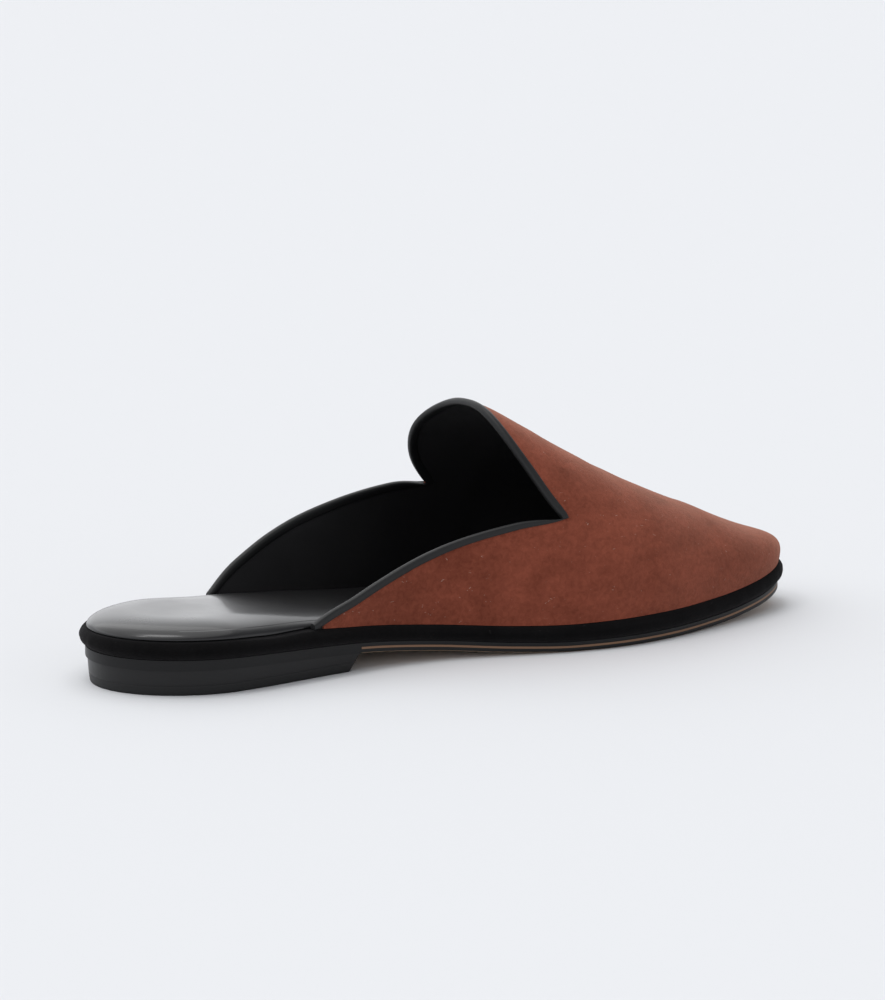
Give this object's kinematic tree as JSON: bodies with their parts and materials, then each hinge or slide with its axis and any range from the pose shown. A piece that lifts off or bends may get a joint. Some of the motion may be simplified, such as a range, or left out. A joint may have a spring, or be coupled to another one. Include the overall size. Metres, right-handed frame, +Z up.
{
  "type": "slipper",
  "caption": "Backless leather slipper for the left foot, with a low heel, padded footbed, open heel and a raised round tab over the instep.",
  "frame": {"origin": "middle of the slipper's plan, on the floor that it stands on", "axes": "+X towards the toe, +Y towards the outer side of the foot, +Z up"},
  "size_m": [0.2942, 0.1028, 0.0891],
  "materials": {
    "heel_rubber": "matte",
    "heel_finish": "semi-gloss edge finish",
    "sole_leather": "natural",
    "black_suede": "suede",
    "black_leather": "polished",
    "rust_suede": "suede"
  },
  "bodies": {
    "root": {"top_piece": "heel_rubber", "heel_lift": "heel_finish", "outsole": "sole_leather", "band": "black_suede", "insole": "black_leather", "upper": "rust_suede", "binding": "black_leather"}
  },
  "joints": []
}
